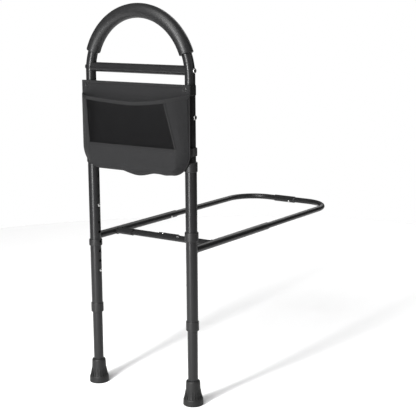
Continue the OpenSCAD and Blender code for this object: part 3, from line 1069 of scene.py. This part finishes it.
class RAIL_OT_back_panel(RailOperator):
    """Makes the organiser's back panel"""
    bl_idname = "rail.back_panel"
    bl_label = "Back panel"

    def make(self, scene):
        width, height = 2 * SIDE_X, TOP_Z - LOW_Z
        bm = shaped_grid(64, 48, panel_point, (width, height))
        panel = piece_from("bag_panel", bm, "cloth", "handle", 60)
        add_thickness(panel, scene.rail_bag.cloth)
        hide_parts("bag_back")


class RAIL_OT_pouch(RailOperator):
    """Makes the pouch: its cloth, its see-through window and its floor"""
    bl_idname = "rail.pouch"
    bl_label = "Pouch"

    def make(self, scene):
        bag = scene.rail_bag
        size = (2 * (SIDE_X + 30 * MM), RIM_Z_SIDE - LOW_Z)
        low_u, high_u = SIDE_COLUMNS / COLUMNS, 1 - SIDE_COLUMNS / COLUMNS
        band_v = BAND_ROWS / ROWS

        def in_window(u, v):
            return v > band_v and low_u < u < high_u

        bm = shaped_grid(COLUMNS, ROWS, pouch_point, size, keep=in_window)
        window = piece_from("pouch_window", bm, "net_painted_shade", "handle", 60)
        add_thickness(window, 0.5 * MM)

        bm = shaped_grid(
            COLUMNS, ROWS, pouch_point, size, keep=lambda u, v: not in_window(u, v))
        bmesh.ops.remove_doubles(bm, verts=bm.verts, dist=1e-6)
        cloth = piece_from("pouch_cloth", bm, "cloth", "handle", 60)
        add_thickness(cloth, bag.cloth)
        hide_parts("bag_front", "bag_gusset_left", "bag_gusset_right")

        def floor_point(u, v):
            x = lerp(-FLAT_X + 2 * MM, FLAT_X - 2 * MM, u)
            distance = lerp(SEAM_D + 1.2 * MM, 30.5 * MM, v)
            z = LOW_Z + (12 - 3 * math.sin(math.pi * v)) * MM - 0.6 * hang(x)
            return forward(x, distance, z)

        bm = shaped_grid(48, 6, floor_point, (2 * FLAT_X, 14 * MM))
        base = piece_from("pouch_floor", bm, "cloth", "handle", 60)
        add_thickness(base, 2.4 * MM)
        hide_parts("bag_base")


class RAIL_OT_bag_trim(RailOperator):
    """Makes the organiser's bindings, piping, seams and snaps"""
    bl_idname = "rail.bag_trim"
    bl_label = "Bag trim"

    def make(self, scene):
        pitch = scene.rail_trim.stitch
        binding = fresh()
        # the rim of the pouch
        steps = 90
        points = [pouch_point(step / steps, 1) for step in range(steps + 1)]
        path = []
        for i, point in enumerate(points):
            ahead = points[min(i + 1, steps)] - points[max(i - 1, 0)]
            up = (Vector((0, 0, 1)) - ahead.normalized() * ahead.normalized().z)
            path.append((point - up.normalized() * 2.6 * MM, up.normalized(),
                         up.normalized().cross(ahead).normalized()))
        ribbon(path, rounded_section(14, 4.6 * MM, 1.15 * MM), into=binding)
        # the top edge of the back panel
        points = [forward(lerp(-SIDE_X, SIDE_X, step / 40), PANEL_D, TOP_Z - 3.4 * MM)
                  for step in range(41)]
        ribbon(framed(points, (0, -1, 0)), rounded_section(14, 4.2 * MM, 1.1 * MM),
               into=binding)
        # the hem round the window
        low_u, high_u = SIDE_COLUMNS / COLUMNS, 1 - SIDE_COLUMNS / COLUMNS
        band_v = BAND_ROWS / ROWS
        route = [(low_u, lerp(0.99, band_v, step / 24)) for step in range(25)]
        route += [(lerp(low_u, high_u, step / 50), band_v) for step in range(1, 51)]
        route += [(high_u, lerp(band_v, 0.99, step / 24)) for step in range(1, 25)]
        points = [pouch_point(u, v, 0.5 * MM) for u, v in route]
        outs = [pouch_out(min(max(u, 0.02 + low_u), high_u - 0.02), v + 0.02)
                for u, v in route]
        hem = framed(points, outs)
        ribbon(hem, rounded_section(12, 2.2 * MM, 0.5 * MM), into=binding)
        piece_from("bag_binding", binding, "binding", "handle", 50)

        piping = fresh()
        points = outline_path(1.2 * MM, start_z=RIM_Z_SIDE - 6 * MM)
        ribbon(framed(points, (0, -1, 0)), rounded_section(12, 1.7 * MM, 1.7 * MM, 1.0),
               into=piping)
        edge = framed(outline_path(0.0), (0, -1, 0))
        ribbon(edge, rounded_section(12, 1.5 * MM, 1.0 * MM, 0.8), into=piping)
        piece_from("bag_piping", piping, "binding", "handle", 60)

        thread = bmesh.new()
        rim_v = 0.972
        rows = [[(pouch_point(s / 60, rim_v, 1.25 * MM), pouch_out(s / 60, rim_v))
                 for s in range(61)]]
        rows.append([(p + t * 0.55 * MM, t) for p, w, t in hem[::2]])
        rows.append([(pouch_point(lerp(0.03, 0.97, s / 60), band_v - 0.035, 0.8 * MM),
                      pouch_out(lerp(0.03, 0.97, s / 60), band_v - 0.035))
                     for s in range(61)])
        for row in rows:
            stitches(row, pitch, thread)
        piece_from("bag_stitches", thread, "thread", "handle", 80)

        snaps = fresh()
        for sign in SIDES.values():
            at = forward(sign * 151.5 * MM, PANEL_D + 0.6 * MM, 787.5 * MM)
            turned([(0, -0.3 * MM), (6.2 * MM, -0.3 * MM), (6.4 * MM, 0.2 * MM),
                    (6.1 * MM, 0.9 * MM), (4.9 * MM, 1.35 * MM), (4.3 * MM, 1.2 * MM),
                    (3.9 * MM, 0.95 * MM), (2.0 * MM, 1.05 * MM), (0, 1.15 * MM)],
                   at, (0, -1, 0), 36, snaps)
        piece_from("bag_snaps", snaps, "acetal", "handle", 35)


class RAIL_OT_bag_straps(RailOperator):
    """Makes the tabs and straps that hold the organiser on the tubes"""
    bl_idname = "rail.bag_straps"
    bl_label = "Bag straps"

    def make(self, scene):
        straps, pads = fresh(), fresh()
        loops_low, loops_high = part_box("bag_loops")
        upper = (RIM_Z_SIDE + loops_high.z) / 2
        lower = (loops_low.z + 648 * MM) / 2
        for sign in SIDES.values():
            centre = Vector((sign * HALF_SPACING, LEG_Y, 0))
            for z, tall, thick in (
                (upper, 24 * MM, 1.3 * MM), (lower, 21 * MM, 1.5 * MM),
            ):
                reach = TUBE_R + thick / 2 + 0.12 * MM
                path = []
                front = PANEL_D - 0.4 * MM
                for distance in (front, 12 * MM, 6 * MM):
                    path.append((centre + Vector((-sign * reach, -distance, z)),
                                 Vector((-sign, 0, 0))))
                for step in range(19):
                    turn = math.pi * step / 18
                    way = Vector((-sign * math.cos(turn), math.sin(turn), 0))
                    path.append((centre + way * reach + Vector((0, 0, z)), way))
                for distance in (6 * MM, 12 * MM, front):
                    path.append((centre + Vector((sign * reach, -distance, z)),
                                 Vector((sign, 0, 0))))
                full = [(point, Vector((0, 0, 1)), out) for point, out in path]
                ribbon(full, rounded_section(14, tall / 2, thick / 2), into=straps)
                if z == lower:
                    patch = [(point + out * 1.5 * MM, wide, out)
                             for point, wide, out in full[9:24]]
                    ribbon(patch, rounded_section(14, tall / 2 - 1 * MM, 0.7 * MM),
                           into=pads)
        piece = piece_from("bag_tabs", straps, "webbing", "handle", 50)
        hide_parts("bag_loops")
        piece_from("bag_fastener", pads, "loop", "handle", 50)


LAYER_PITCH = 1.12 * MM            # from one strap layer to the next, under the band


class RAIL_OT_tie_strap(RailOperator):
    """Makes the folded tie-down strap, its band and its buckle"""
    bl_idname = "rail.tie_strap"
    bl_label = "Tie-down strap"

    def make(self, scene):
        layers = scene.rail_trim.strap_layers
        low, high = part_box("strap_bundle")
        rng = random.Random(7)
        thick, tall = 1.05 * MM, 25 * MM
        middle_z = (low.z + high.z) / 2
        depth = high.y - low.y - 1.2 * MM
        points = []
        for layer in range(layers):
            share = layer / (layers - 1)
            end_y = low.y + 0.6 * MM + depth * share
            waist_y = (low.y + high.y) / 2 + (share - 0.5) * (layers * LAYER_PITCH)
            way = 1 if layer % 2 == 0 else -1
            ends = [high.x - 2 * MM - rng.uniform(0, 9) * MM for _ in range(2)]
            count = 15
            run = []
            for step in range(count):
                s = step / (count - 1) * 2 - 1
                x = (ends[0] if s < 0 else ends[1]) * s * way
                y = lerp(waist_y, end_y, smooth(abs(s) ** 0.9))
                z = middle_z + 0.6 * MM * math.sin(3 * s + layer)
                run.append(Vector((x, y, z)))
            if points:
                last, first = points[-1], run[0]
                gap = (first.y - last.y) / 2
                side = math.copysign(1, last.x)
                for step in range(1, 6):
                    turn = math.pi * step / 6
                    bulge = 2.0 * MM * math.sin(turn)
                    points.append(Vector((
                        lerp(last.x, first.x, step / 6) + side * bulge,
                        last.y + gap * (1 - math.cos(turn)),
                        lerp(last.z, first.z, step / 6))))
            points += run
        outs = []
        for i, point in enumerate(points):
            ahead = points[min(i + 1, len(points) - 1)] - points[max(i - 1, 0)]
            outs.append((point, Vector((0, 0, 1)),
                         ahead.cross(Vector((0, 0, 1))).normalized()))
        bm = ribbon(outs, rounded_section(10, tall / 2, thick / 2))
        strap = piece_from("tie_strap", bm, "webbing", "handle", 50)
        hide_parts("strap_bundle")

        waist = layers * LAYER_PITCH / 2 + 1.0 * MM
        centre_y = (low.y + high.y) / 2
        loop = []
        for step in range(48):
            turn = math.tau * step / 48
            c, s = math.cos(turn), math.sin(turn)
            up = math.copysign(abs(s) ** 0.5, s) * (tall / 2 + 1.0 * MM)
            side = math.copysign(abs(c) ** 0.5, c) * waist
            loop.append((Vector((1.5 * MM * s, centre_y + side, middle_z + up)),
                         Vector((1, 0, 0)), Vector((0, c, s)).normalized()))
        bm = ribbon(loop, rounded_section(8, 1.6 * MM, 0.5 * MM, 0.7), closed=True)
        band = piece_from("rubber_band", bm, "band", "handle", 60)
        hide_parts("strap_band")

        self.buckle()

    def buckle(self):
        """The two halves of the side-release buckle, closed."""
        for node, name in (
            ("buckle_socket", "buckle_shell"), ("buckle_plug", "buckle_tongue"),
        ):
            low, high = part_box(node)
            size, centre = high - low, (low + high) / 2
            bm = fresh()
            if name == "buckle_shell":
                box = bmesh.ops.create_cube(bm, size=1)["verts"]
                bmesh.ops.scale(bm, vec=size, verts=box)
                mouth = [f for f in bm.faces if f.normal.x > 0.9]
                bmesh.ops.inset_region(bm, faces=mouth, thickness=1.8 * MM)
                bmesh.ops.translate(
                    bm, vec=(-size.x * 0.72, 0, 0),
                    verts=list({v for f in mouth for v in f.verts}))
                for normal in (1, -1):
                    flank = [f for f in bm.faces if f.normal.z * normal > 0.9
                             and f.calc_area() > 1e-5]
                    flank = sorted(flank, key=lambda f: -f.calc_area())[:1]
                    bmesh.ops.inset_region(bm, faces=flank, thickness=2.4 * MM)
                    bmesh.ops.translate(
                        bm, vec=(0, 0, -normal * 1.4 * MM),
                        verts=list({v for f in flank for v in f.verts}))
            else:
                bar = bmesh.ops.create_cube(bm, size=1)["verts"]
                bmesh.ops.scale(bm, vec=(size.x * 0.30, size.y, size.z), verts=bar)
                bmesh.ops.translate(bm, vec=(size.x * 0.35, 0, 0), verts=bar)
                slot = [f for f in bm.faces if abs(f.normal.y) > 0.9]
                bmesh.ops.inset_region(bm, faces=slot, thickness=2.4 * MM)
                for sign in (-1, 0, 1):
                    prong = bmesh.ops.create_cube(bm, size=1)["verts"]
                    bmesh.ops.scale(bm, vec=(
                        size.x * (0.62 if sign else 0.5), size.y * 0.7, 3.2 * MM),
                        verts=prong)
                    bmesh.ops.translate(bm, vec=(
                        -size.x * 0.08, 0, sign * (size.z / 2 - 2.4 * MM)), verts=prong)
            bmesh.ops.bevel(
                bm, geom=bm.edges[:], offset=0.6 * MM, affect="EDGES", segments=2,
                profile=0.5, material=-1, clamp_overlap=True)
            bmesh.ops.translate(bm, vec=centre, verts=bm.verts)
            bmesh.ops.recalc_face_normals(bm, faces=bm.faces)
            piece = piece_from(name, bm, "acetal", "handle", 35)
            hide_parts(node)


class RAIL_PT_panel(bpy.types.Panel):
    """Lists the rail's pieces and settings"""
    bl_label = "Bed assist rail"
    bl_idname = "RAIL_PT_panel"
    bl_space_type = "VIEW_3D"
    bl_region_type = "UI"
    bl_category = "Bed rail"

    def draw(self, context):
        layout, scene = self.layout, context.scene
        for operator in OPERATORS:
            layout.operator(operator.bl_idname)
        for group in GROUPS:
            settings = getattr(scene, GROUPS[group])
            box = layout.box()
            for prop in group.__annotations__:
                box.prop(settings, prop)


GROUPS = {
    RailColours: "rail_colours", RailBag: "rail_bag", RailTrim: "rail_trim",
    RailStage: "rail_stage",
}
OPERATORS = (
    RAIL_OT_stage, RAIL_OT_finishes, RAIL_OT_grip, RAIL_OT_feet, RAIL_OT_screws,
    RAIL_OT_springs, RAIL_OT_welds, RAIL_OT_back_panel, RAIL_OT_pouch, RAIL_OT_bag_trim,
    RAIL_OT_bag_straps, RAIL_OT_tie_strap,
)


def register():
    for group, name in GROUPS.items():
        bpy.utils.register_class(group)
        setattr(bpy.types.Scene, name, PointerProperty(type=group))
    for made in (*OPERATORS, RAIL_PT_panel):
        bpy.utils.register_class(made)


def unregister():
    for made in (RAIL_PT_panel, *reversed(OPERATORS)):
        bpy.utils.unregister_class(made)
    for group, name in GROUPS.items():
        delattr(bpy.types.Scene, name)
        bpy.utils.unregister_class(group)


def main():
    register()
    for operator in OPERATORS:
        group, name = operator.bl_idname.split(".")
        getattr(getattr(bpy.ops, group), name)()
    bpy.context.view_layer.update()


if __name__ == "__main__":
    main()
